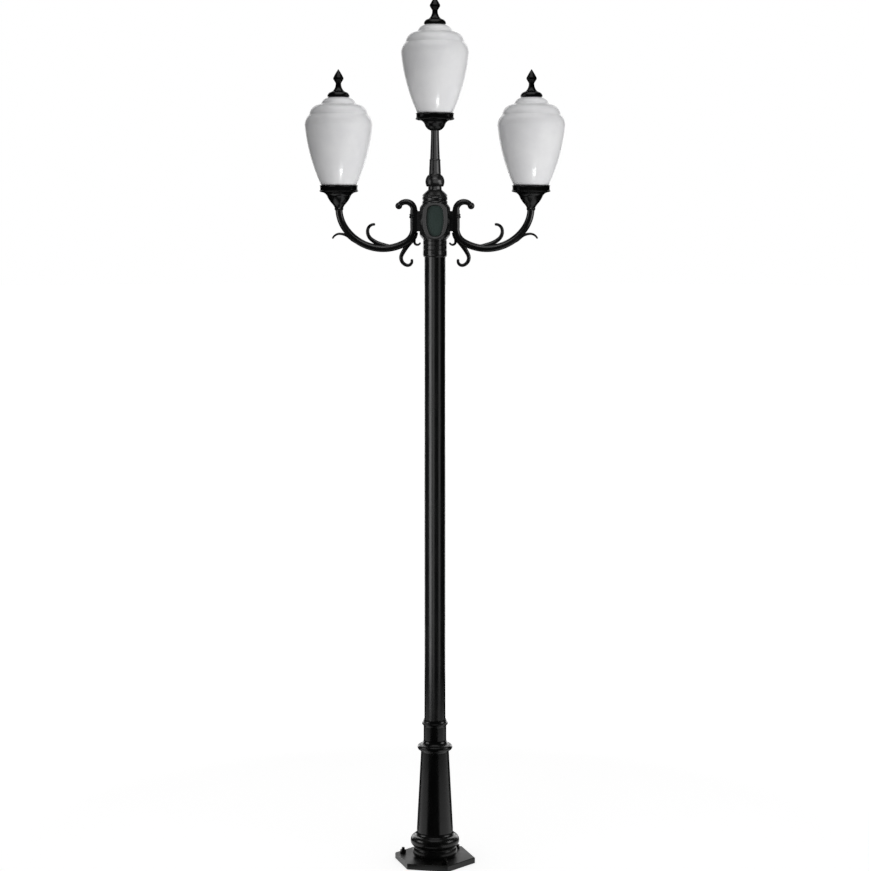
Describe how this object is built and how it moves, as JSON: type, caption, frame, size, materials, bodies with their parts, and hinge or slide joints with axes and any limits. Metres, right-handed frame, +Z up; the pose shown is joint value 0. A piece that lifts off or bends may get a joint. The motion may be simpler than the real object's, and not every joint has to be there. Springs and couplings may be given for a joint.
{
  "type": "triple head lamp post",
  "caption": "Tall round post on a hexagonal foot, with two scrolled arms and a stem, each carrying an opal acorn globe with a spear finial.",
  "frame": {"origin": "on the ground under the tube's axis, at the foot plate's underside", "axes": "+Z up along the post, +X towards the right-hand arm, -Y towards the front"},
  "size_m": [0.962, 0.297, 3.2565],
  "materials": {
    "post_paint": "semi-gloss black",
    "casting_paint": "semi-gloss black over cast metal",
    "panel_paint": "satin dark green-grey",
    "opal_globe": "glossy opal white",
    "bulb_glass": "frosted",
    "bulb_cap_brass": "bare",
    "lampholder_white": "matt white",
    "plated_steel": "zinc plated",
    "dark_steel": "blackened",
    "rubber_seal": "matt black"
  },
  "bodies": {
    "post": {"base_plate": "post_paint", "anchor_washers": "dark_steel", "anchor_nuts": "dark_steel", "post_tube": "post_paint", "pedestal": "casting_paint", "pedestal_set_screws": "dark_steel", "hub_body": "casting_paint", "hub_set_screws": "dark_steel", "hub_crown": "casting_paint", "stem": "casting_paint", "stem_pipe": "plated_steel", "pipe_locknuts": "plated_steel", "medallion_frame_front": "casting_paint", "medallion_frame_back": "casting_paint", "medallion_panel_front": "panel_paint", "medallion_panel_back": "panel_paint", "arm_left": "casting_paint", "arm_right": "casting_paint", "arm_screws_left": "dark_steel", "arm_screws_right": "dark_steel", "gallery_pipe_left": "plated_steel", "gallery_pipe_right": "plated_steel", "gallery_left": "casting_paint", "globe_gasket_left": "rubber_seal", "lampholder_left": "lampholder_white", "gallery_centre": "casting_paint", "globe_gasket_centre": "rubber_seal", "lampholder_centre": "lampholder_white", "gallery_right": "casting_paint", "globe_gasket_right": "rubber_seal", "lampholder_right": "lampholder_white"},
    "globe_left": {"globe_left": "opal_globe", "cap_seal_left": "rubber_seal", "finial_left": "casting_paint", "cap_nut_left": "plated_steel"},
    "bulb_left": {"bulb_cap_left": "bulb_cap_brass", "bulb_glass_left": "bulb_glass"},
    "set_screw_left_a": {"set_screw_left_a": "dark_steel"},
    "set_screw_left_b": {"set_screw_left_b": "dark_steel"},
    "set_screw_left_c": {"set_screw_left_c": "dark_steel"},
    "globe_centre": {"globe_centre": "opal_globe", "cap_seal_centre": "rubber_seal", "finial_centre": "casting_paint", "cap_nut_centre": "plated_steel"},
    "bulb_centre": {"bulb_cap_centre": "bulb_cap_brass", "bulb_glass_centre": "bulb_glass"},
    "set_screw_centre_a": {"set_screw_centre_a": "dark_steel"},
    "set_screw_centre_b": {"set_screw_centre_b": "dark_steel"},
    "set_screw_centre_c": {"set_screw_centre_c": "dark_steel"},
    "globe_right": {"globe_right": "opal_globe", "cap_seal_right": "rubber_seal", "finial_right": "casting_paint", "cap_nut_right": "plated_steel"},
    "bulb_right": {"bulb_cap_right": "bulb_cap_brass", "bulb_glass_right": "bulb_glass"},
    "set_screw_right_a": {"set_screw_right_a": "dark_steel"},
    "set_screw_right_b": {"set_screw_right_b": "dark_steel"},
    "set_screw_right_c": {"set_screw_right_c": "dark_steel"}
  },
  "joints": [
    {"name": "globe_lift_left", "type": "slide", "parent": "post", "child": "globe_left", "axis": [0, 0, 1], "range_m": [0, 0.13]},
    {"name": "bulb_out_left", "type": "slide", "parent": "post", "child": "bulb_left", "axis": [0, 0, 1], "range_m": [0, 0.03]},
    {"name": "set_screw_back_left_a", "type": "slide", "parent": "post", "child": "set_screw_left_a", "axis": [0, 1, 0], "range_m": [0, 0.004]},
    {"name": "set_screw_back_left_b", "type": "slide", "parent": "post", "child": "set_screw_left_b", "axis": [-0.866, -0.5, 0], "range_m": [0, 0.004]},
    {"name": "set_screw_back_left_c", "type": "slide", "parent": "post", "child": "set_screw_left_c", "axis": [0.866, -0.5, 0], "range_m": [0, 0.004]},
    {"name": "globe_lift_centre", "type": "slide", "parent": "post", "child": "globe_centre", "axis": [0, 0, 1], "range_m": [0, 0.13]},
    {"name": "bulb_out_centre", "type": "slide", "parent": "post", "child": "bulb_centre", "axis": [0, 0, 1], "range_m": [0, 0.03]},
    {"name": "set_screw_back_centre_a", "type": "slide", "parent": "post", "child": "set_screw_centre_a", "axis": [0, 1, 0], "range_m": [0, 0.004]},
    {"name": "set_screw_back_centre_b", "type": "slide", "parent": "post", "child": "set_screw_centre_b", "axis": [-0.866, -0.5, 0], "range_m": [0, 0.004]},
    {"name": "set_screw_back_centre_c", "type": "slide", "parent": "post", "child": "set_screw_centre_c", "axis": [0.866, -0.5, 0], "range_m": [0, 0.004]},
    {"name": "globe_lift_right", "type": "slide", "parent": "post", "child": "globe_right", "axis": [0, 0, 1], "range_m": [0, 0.13]},
    {"name": "bulb_out_right", "type": "slide", "parent": "post", "child": "bulb_right", "axis": [0, 0, 1], "range_m": [0, 0.03]},
    {"name": "set_screw_back_right_a", "type": "slide", "parent": "post", "child": "set_screw_right_a", "axis": [0, 1, 0], "range_m": [0, 0.004]},
    {"name": "set_screw_back_right_b", "type": "slide", "parent": "post", "child": "set_screw_right_b", "axis": [-0.866, -0.5, 0], "range_m": [0, 0.004]},
    {"name": "set_screw_back_right_c", "type": "slide", "parent": "post", "child": "set_screw_right_c", "axis": [0.866, -0.5, 0], "range_m": [0, 0.004]}
  ]
}
